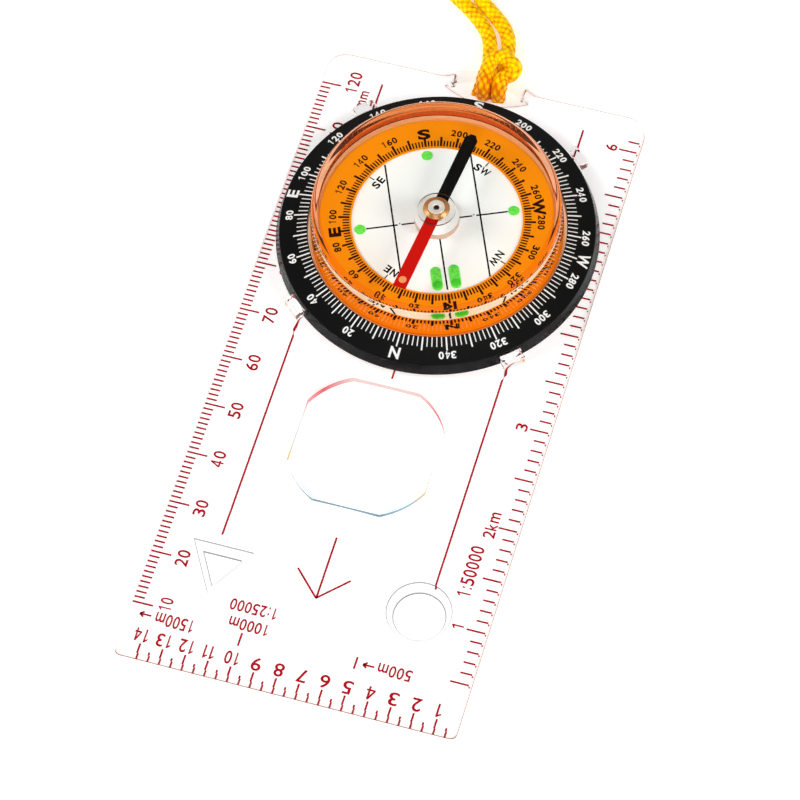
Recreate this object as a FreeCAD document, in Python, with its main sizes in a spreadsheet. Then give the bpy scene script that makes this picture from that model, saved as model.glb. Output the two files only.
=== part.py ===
"""Baseplate map compass with a turning bezel, a liquid-filled capsule and a neck lanyard.

Frame: millimetres, +Z up, underside of the plate at Z = 0, +X to the plate's right-hand edge,
+Y from the pointer end to the lanyard end. The origin is at the middle of the plate's footprint.
"""
import FreeCAD, Part
import math
import os

import Sketcher
from FreeCAD import Placement, Rotation, Vector

SIZES = {
    # baseplate
    "plate_width": 60.0,
    "plate_length": 127.0,
    "plate_thick": 2.0,
    "plate_edge_draft": 9.9,
    "pointer_corner_radius": 1.2,
    "lanyard_corner_radius": 3.75,
    "tab_rise": 2.2,
    "tab_arc_radius": 17.5,
    "slot_arc_radius": 15.5,
    "slot_near_edge": 122.8,
    "slot_far_edge": 127.1,
    "bar_relief_width": 13.0,
    "bar_relief_height": 1.15,
    "circle_stencil_across": 17.8,
    "circle_stencil_along": 20.4,
    "circle_stencil_low_radius": 4.4,
    "circle_stencil_top_radius": 5.65,
    "triangle_stencil_across": -17.75,
    "triangle_stencil_along": 20.5,
    "triangle_stencil_low_radius": 3.78,
    "triangle_stencil_top_radius": 6.29,
    "lens_along": 48.7,
    "lens_radius": 13.8,
    "lens_flat": 12.4,
    "lens_crown": 2.2,
    "lens_sphere_radius": 60.0,
    "lens_floor": 0.4,
    "axis_along": 93.1,
    "capsule_hole_radius": 23.0,
    "lug_angle": 47.5,
    "lug_width": 4.0,
    "lug_top": 3.9,
    "lug_outer_radius": 30.3,
    "lug_gap": 0.25,
    # bezel ring
    "ring_foot_radius": 28.85,
    "ring_shoulder_radius": 28.1,
    "ring_bore_radius": 23.0,
    "ring_foot": 2.1,
    "ring_shoulder": 4.4,
    "ring_crest": 5.5,
    "ring_counterbore_radius": 25.9,
    "ring_counterbore_top": 3.45,
    # capsule
    "cover_foot": 0.2,
    "cover_foot_radius": 22.7,
    "cover_top": 12.2,
    "cover_top_radius": 22.05,
    "cover_rim_radius": 0.8,
    "cover_wall": 1.2,
    "cover_roof": 1.0,
    "flange_radius": 25.6,
    "flange_low": 2.1,
    "flange_high": 3.2,
    "base_low": 3.2,
    "base_thick": 0.6,
    "base_radius": 20.9,
    "boss_radius": 3.9,
    "boss_height": 2.0,
    "dial_inner_radius": 15.15,
    "dial_outer_radius": 21.0,
    "dial_thick": 0.3,
    "dial_turn": 23.5,
    "plug_radius": 0.8,
    "plug_offset": 18.0,
    "mark_thick": 0.15,
    "lume_dot_radius": 1.0,
    "lume_dot_offset": 13.7,
    "lume_bar_length": 4.9,
    "lume_bar_width": 1.9,
    "lume_bar_end_radius": 0.91,
    "lume_bar_spacing": 3.24,
    "lume_bar_offset": 12.0,
    "pin_radius": 0.45,
    "pin_collar_radius": 1.1,
    "pin_collar_top": 6.6,
    "pin_tip": 10.4,
    "pin_tip_length": 0.8,
    "liquid_gap": 0.08,
    "sweep_radius": 17.5,
    "sweep_low": 8.4,
    "sweep_high": 10.85,
    # needle
    "needle_turn": 6.4,
    "blade_half_length": 17.05,
    "blade_root_width": 2.0,
    "blade_end_width": 2.5,
    "blade_point_length": 1.0,
    "blade_point_width": 1.0,
    "blade_low": 8.8,
    "blade_thick": 0.25,
    "hub_low": 8.55,
    "hub_skirt_radius": 3.35,
    "hub_skirt_top": 9.85,
    "hub_step_radius": 2.4,
    "hub_step_top": 10.15,
    "hub_crown_radius": 1.5,
    "hub_crown_top": 10.75,
    "hub_bore_radius": 0.95,
    "jewel_low": 9.8,
    "jewel_high": 10.6,
    "jewel_cone_radius": 0.8,
    "needle_dot_radius": 0.7,
    "needle_dot_inset": 1.65,
    # lanyard
    "cord_diameter": 2.8,
    "flat_cord_thick": 1.0,
    "flat_cord_rounding": 0.45,
    "flat_cord_low": 0.05,
    "hitch_start_height": 0.6,
    "hitch_bar_height": 3.7,
    "hitch_crown_height": 4.5,
    "hitch_crown_reach": 4.9,
    "hitch_flat_inset": 0.7,
    "hitch_tail_length": 1.6,
    "flat_cord_width": 3.2,
    "coil_inner_radius": 10.3,
    "coil_outer_radius": 22.7,
    "coil_height": 5.75,
    "coil_edge_radius": 1.4,
    "coil_across": -29.8,
    "coil_along": 110.8,
}

doc = FreeCAD.newDocument("compass")
sheet = doc.addObject("Spreadsheet::Sheet", "Sizes")
for row, (alias, number) in enumerate(SIZES.items(), start=1):
    sheet.set(f"A{row}", alias)
    sheet.set(f"B{row}", str(number))
    sheet.setAlias(f"B{row}", alias)
doc.recompute()


class Size:
    """A length or an angle: its value now, and the sheet expression that gives it."""

    def __init__(self, value, text):
        self.value = value
        self.text = text

    def __add__(self, other):
        other = as_size(other)
        return Size(self.value + other.value, f"({self.text} + {other.text})")

    def __sub__(self, other):
        other = as_size(other)
        return Size(self.value - other.value, f"({self.text} - {other.text})")

    def __mul__(self, other):
        other = as_size(other)
        return Size(self.value * other.value, f"({self.text} * {other.text})")

    def __truediv__(self, other):
        other = as_size(other)
        return Size(self.value / other.value, f"({self.text} / {other.text})")

    def __neg__(self):
        return self * -1


def as_size(number):
    return number if isinstance(number, Size) else Size(float(number), f"{float(number)}")


def cell(alias):
    return Size(SIZES[alias], f"Sizes.{alias}")


def bind(item, name, size):
    """Set a property and tie it to the sheet."""
    setattr(item, name, as_size(size).value)
    item.setExpression(name, as_size(size).text)


def place(item, across=0, along=0, up=0, turn=0):
    """Put an item at a point of the frame, turned about +Z, tied to the sheet."""
    spot = [as_size(part) for part in (across, along, up)]
    angle = as_size(turn)
    item.Placement = Placement(Vector(*[part.value for part in spot]), Rotation(Vector(0, 0, 1), angle.value))
    for letter, part in zip("xyz", spot):
        item.setExpression(f"Placement.Base.{letter}", part.text)
    if angle.value:
        item.setExpression("Placement.Rotation.Angle", f"{angle.text} * 1 deg")
    return item


# The plate's pointer edge is at Y = -half of the whole footprint, tab included.
HALF_FOOTPRINT = (cell("plate_length") + cell("tab_rise")) / 2
AXIS_Y = cell("axis_along") - HALF_FOOTPRINT
BASE_LOW = cell("base_low")
BASE_TOP = BASE_LOW + cell("base_thick")
DIAL_NORTH = cell("dial_turn") - 90


def primitive(kind, name, across=0, along=0, up=0, turn=0, **sizes):
    """A Part primitive with its sizes and its place tied to the sheet."""
    item = doc.addObject(f"Part::{kind}", name)
    for prop, size in sizes.items():
        bind(item, prop, size)
    return place(item, across, along, up, turn)


def centred_box(name, width, length, height, across=0, along=0, up=0):
    return primitive("Box", name, as_size(across) - width / 2, as_size(along) - length / 2, up,
                     Length=width, Width=length, Height=height)


def fuse(name, shapes):
    item = doc.addObject("Part::MultiFuse", name)
    item.Shapes = shapes
    item.Refine = True
    return item


def common(name, shapes):
    item = doc.addObject("Part::MultiCommon", name)
    item.Shapes = shapes
    return item


def cut(name, base, tool):
    item = doc.addObject("Part::Cut", name)
    item.Base = base
    item.Tool = tool
    return item


def new_body(label):
    body = doc.addObject("PartDesign::Body", label)
    body.Label = label
    return body


def outline(body, role, corners, circles=()):
    """A closed sketch through corners, each given by two sizes, on one of the body's own planes."""
    sketch = body.newObject("Sketcher::SketchObject", f"{body.Name}_outline")
    plane = next(item for item in body.Origin.OriginFeatures if item.Role == role)
    sketch.AttachmentSupport = (plane, "")
    sketch.MapMode = "FlatFace"
    corners = [(as_size(across), as_size(up)) for across, up in corners]
    points = [Vector(across.value, up.value, 0) for across, up in corners]
    count = len(points)
    for index, point in enumerate(points):
        sketch.addGeometry(Part.LineSegment(point, points[(index + 1) % count]), False)
    for index in range(count):
        sketch.addConstraint(Sketcher.Constraint("Coincident", index, 2, (index + 1) % count, 1))
        for kind, axis, size in zip(("DistanceX", "DistanceY"), (-2, -1), corners[index]):
            if size.value == 0:
                sketch.addConstraint(Sketcher.Constraint("PointOnObject", index, 1, axis))
                continue
            number = sketch.addConstraint(Sketcher.Constraint(kind, -1, 1, index, 1, size.value))
            sketch.setExpression(f"Constraints[{number}]", size.text)
    for radius in circles:
        circle = sketch.addGeometry(Part.Circle(Vector(0, 0, 0), Vector(0, 0, 1), radius.value), False)
        sketch.addConstraint(Sketcher.Constraint("Coincident", circle, 3, -1, 1))
        number = sketch.addConstraint(Sketcher.Constraint("Radius", circle, radius.value))
        sketch.setExpression(f"Constraints[{number}]", radius.text)
    return sketch


def revolve(body, corners):
    """Turn a radius-and-height outline once round the body's own Z axis."""
    sketch = outline(body, "XZ_Plane", corners)
    feature = body.newObject("PartDesign::Revolution", f"{body.Name}_turn")
    feature.Profile = sketch
    feature.ReferenceAxis = (sketch, ["V_Axis"])
    feature.Angle = 360
    return feature


def pad(body, corners, height, circles=()):
    feature = body.newObject("PartDesign::Pad", f"{body.Name}_pad")
    feature.Profile = outline(body, "XY_Plane", corners, circles)
    bind(feature, "Length", height)
    return feature


def edges_where(feature, wanted):
    """Names of the edges of a feature whose middle point passes a test."""
    doc.recompute()
    names = []
    for number, edge in enumerate(feature.Shape.Edges, start=1):
        if wanted(edge.CenterOfMass, edge):
            names.append(f"Edge{number}")
    return names


def round_edges(body, feature, radius, wanted, name):
    fillet = body.newObject("PartDesign::Fillet", f"{body.Name}_{name}")
    fillet.Base = (feature, edges_where(feature, wanted))
    bind(fillet, "Radius", radius)
    return fillet


def upright(edge):
    return abs(edge.tangentAt(edge.FirstParameter).z) > 0.9


def plate_blank():
    """The flat plate with drafted edges and its four rounded corners."""
    body = new_body("plate_blank")
    half = cell("plate_width") / 2
    length = cell("plate_length")
    corners = [(-half, 0), (half, 0), (half, length), (-half, length)]
    slab = pad(body, corners, cell("plate_thick"))
    bind(slab, "TaperAngle", -cell("plate_edge_draft"))
    middle = length.value / 2
    pointer = round_edges(body, slab, cell("pointer_corner_radius"),
                          lambda spot, edge: upright(edge) and spot.y < middle, "pointer_corners")
    round_edges(body, pointer, cell("lanyard_corner_radius"),
                lambda spot, edge: upright(edge) and spot.y > middle, "lanyard_corners")
    return place(body, 0, -HALF_FOOTPRINT)


def plate_tab():
    """The bowed tab beyond the plate's end that leaves a bar for the lanyard."""
    thick = cell("plate_thick")
    top = HALF_FOOTPRINT
    disc = primitive("Cylinder", "tab_disc", 0, top - cell("tab_arc_radius"), 0,
                     Radius=cell("tab_arc_radius"), Height=thick)
    keep = centred_box("tab_keep", cell("plate_width") / 2, cell("tab_rise") * 3, thick, along=top - cell("tab_rise"))
    return common("plate_tab", [disc, keep])


def lugs():
    """Four snap lugs whose inner faces follow the bezel ring's drafted wall."""
    low = cell("plate_thick") / 2
    slope = (cell("ring_foot_radius") - cell("ring_shoulder_radius")) / (cell("ring_shoulder") - cell("ring_foot"))
    top = cell("lug_top")
    reach = cell("ring_foot_radius") + cell("lug_gap")
    post = primitive("Cylinder", "lug_post", 0, AXIS_Y, low, Radius=cell("lug_outer_radius"), Height=top - low)
    wall = primitive("Cone", "lug_wall", 0, AXIS_Y, low, Height=top - low,
                     Radius1=reach + slope * (cell("ring_foot") - low),
                     Radius2=reach - slope * (top - cell("ring_foot")))
    bars = []
    for side, sign in (("left", 1), ("right", -1)):
        bar = centred_box(f"lug_bar_{side}", cell("lug_outer_radius") * 3, cell("lug_width"), cell("ring_crest"))
        turn = cell("lug_angle") * sign
        half_length = cell("lug_outer_radius") * 3 / 2
        half_width = cell("lug_width") / 2
        cosine = math.cos(math.radians(turn.value))
        sine = math.sin(math.radians(turn.value))
        place(bar, half_width * sine - half_length * cosine,
              AXIS_Y - half_length * sine - half_width * cosine, 0, turn)
        bars.append(bar)
    return common("lugs", [cut("lug_ring", post, wall), fuse("lug_bars", bars)])


def lens_parts():
    """The recess of the magnifier, and the domed lens that stands in it."""
    along = cell("lens_along") - HALF_FOOTPRINT
    flat = cell("lens_flat") * 2
    height = cell("plate_thick") * 2
    solids = []
    for name, floor in (("lens_recess", cell("lens_floor")), ("lens_body", cell("lens_floor") / 2)):
        disc = primitive("Cylinder", f"{name}_disc", 0, along, floor, Radius=cell("lens_radius"), Height=height)
        square = centred_box(f"{name}_square", flat, flat, height, along=along, up=floor)
        shapes = [disc, square]
        if name == "lens_body":
            centre = cell("lens_crown") - cell("lens_sphere_radius")
            shapes.append(primitive("Sphere", "lens_sphere", 0, along, centre, Radius=cell("lens_sphere_radius")))
        solids.append(common(name, shapes))
    return solids


def stencils():
    """The flared round and triangular plotting holes."""
    thick = cell("plate_thick")
    cone = primitive("Cone", "circle_stencil", cell("circle_stencil_across"),
                     cell("circle_stencil_along") - HALF_FOOTPRINT, 0,
                     Radius1=cell("circle_stencil_low_radius"), Radius2=cell("circle_stencil_top_radius"),
                     Height=thick)
    sections = []
    for name, radius, up in (("low", "triangle_stencil_low_radius", 0), ("top", "triangle_stencil_top_radius", thick)):
        section = doc.addObject("Part::RegularPolygon", f"triangle_{name}")
        section.Polygon = 3
        bind(section, "Circumradius", cell(radius))
        place(section, cell("triangle_stencil_across"), cell("triangle_stencil_along") - HALF_FOOTPRINT, up, -90)
        sections.append(section)
    loft = doc.addObject("Part::Loft", "triangle_stencil")
    loft.Sections = sections
    loft.Solid = True
    loft.Ruled = True
    return [cone, loft]


def lanyard_slot():
    """An eye-shaped slot between two arcs, and the relief under its bar where the cord passes."""
    radius = cell("slot_arc_radius")
    thick = cell("plate_thick")
    near = cell("slot_near_edge") + radius - HALF_FOOTPRINT
    far = cell("slot_far_edge") - radius - HALF_FOOTPRINT
    discs = []
    for name, along in (("near", near), ("far", far)):
        discs.append(primitive("Cylinder", f"slot_{name}", 0, along, 0, Radius=radius, Height=thick))
    bar_reach = HALF_FOOTPRINT + cell("plate_length") - cell("slot_far_edge")
    relief = centred_box("bar_relief", cell("bar_relief_width"), cell("tab_rise") * 3,
                         cell("bar_relief_height"), along=bar_reach)
    return [common("slot_eye", discs), relief]


def baseplate():
    recess, lens = lens_parts()
    blank = fuse("plate_solid", [plate_blank(), plate_tab(), lugs()])
    hole = primitive("Cylinder", "capsule_hole", 0, AXIS_Y, 0,
                     Radius=cell("capsule_hole_radius"), Height=cell("plate_thick"))
    tools = fuse("plate_openings", [hole, recess] + stencils() + lanyard_slot())
    plate = fuse("baseplate", [cut("plate_cut", blank, tools), lens])
    plate.Label = "baseplate"
    return plate


def bezel_ring():
    body = new_body("bezel_ring")
    inner = cell("ring_bore_radius")
    counterbore = cell("ring_counterbore_radius")
    foot = cell("ring_foot")
    lip = cell("ring_counterbore_top")
    revolve(body, [
        (counterbore, foot),
        (cell("ring_foot_radius"), foot),
        (cell("ring_shoulder_radius"), cell("ring_shoulder")),
        (inner, cell("ring_crest")),
        (inner, lip),
        (counterbore, lip),
    ])
    return place(body, 0, AXIS_Y)


def capsule_cover():
    """Clear cup, open below, with a flange that the bezel ring traps."""
    body = new_body("capsule_cover")
    foot = cell("cover_foot")
    top = cell("cover_top")
    wall = cell("cover_wall")
    outer = cell("cover_foot_radius")
    crown = cell("cover_top_radius")
    flange = cell("flange_radius")
    shell = revolve(body, [
        (0, top),
        (crown, top),
        (outer, cell("flange_high")),
        (flange, cell("flange_high")),
        (flange, cell("flange_low")),
        (outer, cell("flange_low")),
        (outer, foot),
        (outer - wall, foot),
        (outer - wall, BASE_TOP),
        (crown - wall, top - cell("cover_roof")),
        (0, top - cell("cover_roof")),
    ])
    round_edges(body, shell, cell("cover_rim_radius"),
                lambda spot, edge: edge.BoundBox.ZMin > top.value - 2
                and edge.BoundBox.XMax > crown.value - wall.value - 0.1, "rims")
    return place(body, 0, AXIS_Y)


def capsule_base():
    """Clear floor of the capsule with a low boss round the pivot pin."""
    body = new_body("capsule_base")
    boss = cell("boss_radius")
    disc = revolve(body, [
        (cell("pin_radius"), BASE_LOW),
        (cell("base_radius"), BASE_LOW),
        (cell("base_radius"), BASE_TOP),
        (boss, BASE_TOP),
        (boss, BASE_TOP + cell("boss_height")),
        (cell("pin_radius"), BASE_TOP + cell("boss_height")),
    ])
    sketch = outline(body, "XY_Plane", [], [cell("plug_radius")])
    sketch.AttachmentOffset = Placement(Vector(SIZES["plug_offset"], 0, 0), Rotation())
    sketch.setExpression("AttachmentOffset.Base.x", cell("plug_offset").text)
    hole = body.newObject("PartDesign::Pocket", "fill_hole")
    hole.Profile = sketch
    bind(hole, "Length", BASE_TOP)
    hole.Midplane = False
    hole.Reversed = True
    doc.recompute()
    if not hole.Shape.Volume < disc.Shape.Volume - 1:
        raise RuntimeError("the filling hole cuts nothing")
    return place(body, 0, AXIS_Y, 0, cell("dial_turn"))


def ring_piece(label, inner, outer, low, high, turn=0):
    body = new_body(label)
    revolve(body, [(inner, low), (outer, low), (outer, high), (inner, high)])
    return place(body, 0, AXIS_Y, 0, turn)


def polar(radius, heading):
    """Offset on the dial at a compass heading, clockwise from its north mark."""
    angle = math.radians(DIAL_NORTH.value - heading)
    return radius * math.cos(angle), radius * math.sin(angle)


def fill_plug():
    across, along = polar(cell("plug_offset"), -90)
    plug = primitive("Cylinder", "fill_plug", across, AXIS_Y + along, BASE_LOW,
                     Radius=cell("plug_radius"), Height=cell("base_thick"))
    plug.Label = "fill_plug"
    return plug


def lume_dot(label, heading):
    across, along = polar(cell("lume_dot_offset"), heading)
    dot = primitive("Cylinder", label, across, AXIS_Y + along, BASE_TOP,
                    Radius=cell("lume_dot_radius"), Height=cell("mark_thick"))
    dot.Label = label
    return dot


def lume_bar(label, side):
    """One of the pair of round-ended bars that straddle the north line."""
    body = new_body(label)
    half_width = cell("lume_bar_width") / 2
    half_length = cell("lume_bar_length") / 2
    bar = pad(body, [(-half_width, -half_length), (half_width, -half_length),
                     (half_width, half_length), (-half_width, half_length)], cell("mark_thick"))
    round_edges(body, bar, cell("lume_bar_end_radius"), lambda spot, edge: upright(edge), "ends")
    out_across, out_along = polar(cell("lume_bar_offset"), 0)
    side_across, side_along = polar(cell("lume_bar_spacing") / 2 * side, 90)
    return place(body, out_across + side_across, AXIS_Y + out_along + side_along, BASE_TOP, cell("dial_turn"))


def pivot_pin():
    body = new_body("pivot_pin")
    shaft = cell("pin_radius")
    seat = BASE_TOP + cell("boss_height")
    revolve(body, [
        (0, BASE_LOW),
        (shaft, BASE_LOW),
        (shaft, seat),
        (cell("pin_collar_radius"), seat),
        (cell("pin_collar_radius"), cell("pin_collar_top")),
        (shaft, cell("pin_collar_top")),
        (shaft, cell("pin_tip") - cell("pin_tip_length")),
        (0, cell("pin_tip")),
    ])
    return place(body, 0, AXIS_Y)


def damping_liquid():
    """The filling round the needle's swept space, a little clear of every piece."""
    body = new_body("damping_liquid")
    gap = cell("liquid_gap")
    floor = BASE_TOP + cell("boss_height") + cell("dial_thick") + gap
    wall = cell("cover_top_radius") - cell("cover_wall") - cell("cover_rim_radius") - gap
    roof = cell("cover_top") - cell("cover_roof") - gap
    hollow = cell("pin_collar_radius") + gap
    revolve(body, [
        (hollow, floor),
        (wall, floor),
        (wall, roof),
        (0, roof),
        (0, cell("sweep_high")),
        (cell("sweep_radius"), cell("sweep_high")),
        (cell("sweep_radius"), cell("sweep_low")),
        (hollow, cell("sweep_low")),
    ])
    return place(body, 0, AXIS_Y)


def needle_blade():
    """Flat strip, wider at its ends, with one square end and one blunt point."""
    body = new_body("needle_blade")
    half = cell("blade_half_length")
    root = cell("blade_root_width") / 2
    tip = cell("blade_end_width") / 2
    blunt = cell("blade_point_width") / 2
    point = half - cell("blade_point_length")
    corners = [(-tip, -half), (tip, -half), (root, 0), (tip, point), (blunt, half),
               (-blunt, half), (-tip, point), (-root, 0)]
    pad(body, corners, cell("blade_thick"))
    disc = body.newObject("PartDesign::Pad", "blade_eye")
    disc.Profile = outline(body, "XY_Plane", [], [cell("hub_step_radius")])
    bind(disc, "Length", cell("blade_thick"))
    bore = body.newObject("PartDesign::Pocket", "blade_bore")
    bore.Profile = outline(body, "XY_Plane", [], [cell("hub_crown_radius")])
    bind(bore, "Length", cell("blade_thick"))
    bore.Reversed = True
    doc.recompute()
    if not bore.Shape.Volume < disc.Shape.Volume - 0.5:
        raise RuntimeError("the blade's bore cuts nothing")
    return place(body, 0, AXIS_Y, cell("blade_low"), -cell("needle_turn"))


def needle_hub():
    """Clear stepped cap that sits on the blade, with a seat for the jewel."""
    body = new_body("needle_hub")
    bore = cell("hub_bore_radius")
    blade_top = cell("blade_low") + cell("blade_thick")
    revolve(body, [
        (bore, cell("hub_low")),
        (cell("hub_crown_radius"), cell("hub_low")),
        (cell("hub_crown_radius"), blade_top),
        (cell("hub_skirt_radius"), blade_top),
        (cell("hub_skirt_radius"), cell("hub_skirt_top")),
        (cell("hub_step_radius"), cell("hub_skirt_top")),
        (cell("hub_step_radius"), cell("hub_step_top")),
        (cell("hub_crown_radius"), cell("hub_step_top")),
        (cell("hub_crown_radius"), cell("hub_crown_top") - cell("hub_bore_radius") / 2),
        (bore, cell("hub_crown_top")),
        (0, cell("hub_crown_top")),
        (0, cell("jewel_high")),
        (bore, cell("jewel_high")),
    ])
    return place(body, 0, AXIS_Y, 0, -cell("needle_turn"))


def jewel_cup():
    """Bearing jewel with the cone that rides on the pin's point."""
    body = new_body("jewel_cup")
    revolve(body, [
        (cell("jewel_cone_radius"), cell("jewel_low")),
        (cell("hub_bore_radius"), cell("jewel_low")),
        (cell("hub_bore_radius"), cell("jewel_high")),
        (0, cell("jewel_high")),
        (0, cell("pin_tip") + cell("liquid_gap")),
    ])
    return place(body, 0, AXIS_Y, 0, -cell("needle_turn"))


def needle_lume_dot():
    angle = math.radians(-90 - SIZES["needle_turn"])
    reach = cell("blade_half_length") - cell("needle_dot_inset")
    dot = primitive("Cylinder", "needle_lume_dot", reach * math.cos(angle), AXIS_Y + reach * math.sin(angle),
                    cell("blade_low") + cell("blade_thick"),
                    Radius=cell("needle_dot_radius"), Height=cell("mark_thick") / 2)
    dot.Label = "needle_lume_dot"
    return dot


def cord_path(points):
    """Straight runs through the points, with an arc at each turn as large as its two runs allow."""
    edges = []
    start = points[0]
    radii = []
    for before, corner, after in zip(points, points[1:], points[2:]):
        into = corner - before
        away = after - corner
        turn = into.getAngle(away)
        setback = 0.45 * min(into.Length, away.Length)
        radii.append(setback / math.tan(turn / 2))
        entry = corner - into.normalize() * setback
        leave = corner + away.normalize() * setback
        inward = (entry + leave) * 0.5 - corner
        bulge = radii[-1] / math.cos(turn / 2) - radii[-1]
        edges.append(Part.LineSegment(start, entry).toShape())
        edges.append(Part.Arc(entry, corner + inward.normalize() * bulge, leave).toShape())
        start = leave
    edges.append(Part.LineSegment(start, points[-1]).toShape())
    return Part.Wire(edges), radii


def cord_tube(name, points):
    wire, radii = cord_path([Vector(*point) for point in points])
    radius = float(sheet.get("cord_diameter")) / 2
    start = wire.Edges[0]
    circle = Part.Circle(start.valueAt(start.FirstParameter), start.tangentAt(start.FirstParameter), radius)
    tube = wire.makePipeShell([Part.Wire([circle.toShape()])], True, False)
    expected = math.pi * radius**2 * wire.Length
    print(f"{name}: length {wire.Length:.1f}, radii {[round(value, 1) for value in radii]}, "
          f"volume {tube.Volume:.1f} against {expected:.1f}")
    return tube


def cord_feature(label, shape):
    item = doc.addObject("Part::Feature", label)
    item.Label = label
    item.Shape = shape
    item.Placement = Placement()
    return item


# The routes, in the frame of the part. The cord lies on the surface under the plate.
LIE = SIZES["cord_diameter"] / 2
LEGS = (-1.3, 1.55)
SLOT_Y = 60.35
HITCH_END_Y = 66.9
LEFT_ROUTE = [
    (-1.3, 66.9, LIE),
    (-2.0, 70.3, LIE),
    (-3.4, 73.4, LIE),
    (-6.4, 76.3, LIE),
    (-10.2, 79.1, LIE),
    (-15.2, 82.1, LIE),
    (-21.8, 85.2, LIE),
    (-29.4, 88.2, LIE),
]
RIGHT_ROUTE = [
    (1.55, 66.9, LIE),
    (1.45, 71.0, LIE),
    (-0.25, 74.8, LIE),
    (-3.55, 77.7, LIE),
    (-7.0, 80.3, LIE),
    (-9.4, 84.6, LIE),
    (-10.1, 90.2, LIE),
    (-9.9, 96.6, LIE),
    (-9.3, 102.8, LIE),
]


def lanyard_hitch():
    """The cow hitch: a bight over the bar, and both parts flattened under it and out."""
    left, right = LEGS
    start = SIZES["hitch_start_height"]
    over_bar = SIZES["hitch_bar_height"]
    crown = SIZES["hitch_crown_height"]
    crown_y = SLOT_Y + SIZES["hitch_crown_reach"]
    route = [
        (left, SLOT_Y, start),
        (left, SLOT_Y, over_bar),
        (left, crown_y, crown),
        (right, crown_y, crown),
        (right, SLOT_Y, over_bar),
        (right, SLOT_Y, start),
    ]
    solid = cord_tube("hitch bight", route)
    width = SIZES["flat_cord_width"]
    thick = SIZES["flat_cord_thick"]
    low = SIZES["flat_cord_low"]
    tail_length = SIZES["hitch_tail_length"]
    for across in LEGS:
        length = HITCH_END_Y - SIZES["hitch_flat_inset"] - SLOT_Y + LIE
        flat = Part.makeBox(width, length, thick, Vector(across - width / 2, SLOT_Y - LIE, low))
        sides = [edge for edge in flat.Edges if abs(edge.tangentAt(edge.FirstParameter).y) > 0.9]
        flat = flat.makeFillet(SIZES["flat_cord_rounding"], sides)
        tail = Part.makeCylinder(LIE, tail_length, Vector(across, HITCH_END_Y - tail_length, LIE), Vector(0, 1, 0))
        solid = solid.fuse([flat, tail])
    return cord_feature("lanyard_hitch", solid.removeSplitter())


def lanyard_coil():
    """Outer shape of the round coil that the rest of the lanyard is wound into."""
    body = new_body("lanyard_coil")
    inner = cell("coil_inner_radius")
    outer = cell("coil_outer_radius")
    ring = revolve(body, [(inner, 0), (outer, 0), (outer, cell("coil_height")), (inner, cell("coil_height"))])
    round_edges(body, ring, cell("coil_edge_radius"), lambda spot, edge: edge.Length > 1
                and edge.BoundBox.ZLength < 0.01, "turns")
    return place(body, cell("coil_across"), cell("coil_along"))


def build():
    turn = cell("dial_turn")
    return [
        baseplate(),
        bezel_ring(),
        capsule_cover(),
        capsule_base(),
        ring_piece("base_gasket", cell("base_radius"), cell("cover_foot_radius") - cell("cover_wall"),
                   cell("cover_foot"), BASE_TOP),
        fill_plug(),
        ring_piece("dial_ring", cell("dial_inner_radius"), cell("dial_outer_radius"),
                   BASE_TOP, BASE_TOP + cell("dial_thick"), turn),
        lume_bar("lume_bar_left", -1),
        lume_bar("lume_bar_right", 1),
        lume_dot("lume_dot_east", 90),
        lume_dot("lume_dot_south", 180),
        lume_dot("lume_dot_west", 270),
        pivot_pin(),
        damping_liquid(),
        needle_blade(),
        needle_hub(),
        jewel_cup(),
        needle_lume_dot(),
        lanyard_hitch(),
        cord_feature("lanyard_strand_left", cord_tube("left strand", LEFT_ROUTE)),
        cord_feature("lanyard_strand_right", cord_tube("right strand", RIGHT_ROUTE)),
        lanyard_coil(),
    ]


pieces = build()
doc.recompute()
for item in doc.Objects:
    if "Invalid" in item.State or "Error" in item.State:
        raise RuntimeError(f"{item.Label} failed: {item.State}")
os.makedirs("parts", exist_ok=True)
for piece in pieces:
    shape = piece.Shape
    if shape.isNull() or not shape.isValid() or len(shape.Solids) != 1:
        raise RuntimeError(f"{piece.Label} is not one valid solid")
    shape.exportStep(f"parts/{piece.Label}.step")
    box = shape.BoundBox
    print(f"{piece.Label}: volume {shape.Volume:.2f}, X {box.XMin:.2f} to {box.XMax:.2f}, "
          f"Y {box.YMin:.2f} to {box.YMax:.2f}, Z {box.ZMin:.2f} to {box.ZMax:.2f}")
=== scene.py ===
"""Looks of the baseplate map compass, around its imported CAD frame.

Every length below is in millimetres in the frame of the part, and MM turns it into metres.
"""
import math

import bmesh
import bpy
from mathutils import Matrix, Vector


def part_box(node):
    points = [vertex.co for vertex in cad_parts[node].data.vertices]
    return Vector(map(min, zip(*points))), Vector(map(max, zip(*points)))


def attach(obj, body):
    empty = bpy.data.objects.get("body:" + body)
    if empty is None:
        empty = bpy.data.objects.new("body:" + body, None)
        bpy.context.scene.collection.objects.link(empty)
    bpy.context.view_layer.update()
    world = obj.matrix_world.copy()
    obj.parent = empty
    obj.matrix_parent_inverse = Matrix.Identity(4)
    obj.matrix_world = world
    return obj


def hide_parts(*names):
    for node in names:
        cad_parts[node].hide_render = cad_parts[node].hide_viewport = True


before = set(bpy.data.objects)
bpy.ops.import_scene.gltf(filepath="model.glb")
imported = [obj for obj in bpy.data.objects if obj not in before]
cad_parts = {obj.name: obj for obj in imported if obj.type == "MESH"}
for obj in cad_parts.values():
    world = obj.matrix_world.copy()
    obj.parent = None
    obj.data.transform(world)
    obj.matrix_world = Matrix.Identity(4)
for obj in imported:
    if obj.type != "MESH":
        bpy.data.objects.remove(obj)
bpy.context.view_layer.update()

MM = 0.001


def box(name):
    """Low and high corner of a CAD node, in millimetres."""
    return [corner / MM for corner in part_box(name)]


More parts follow.
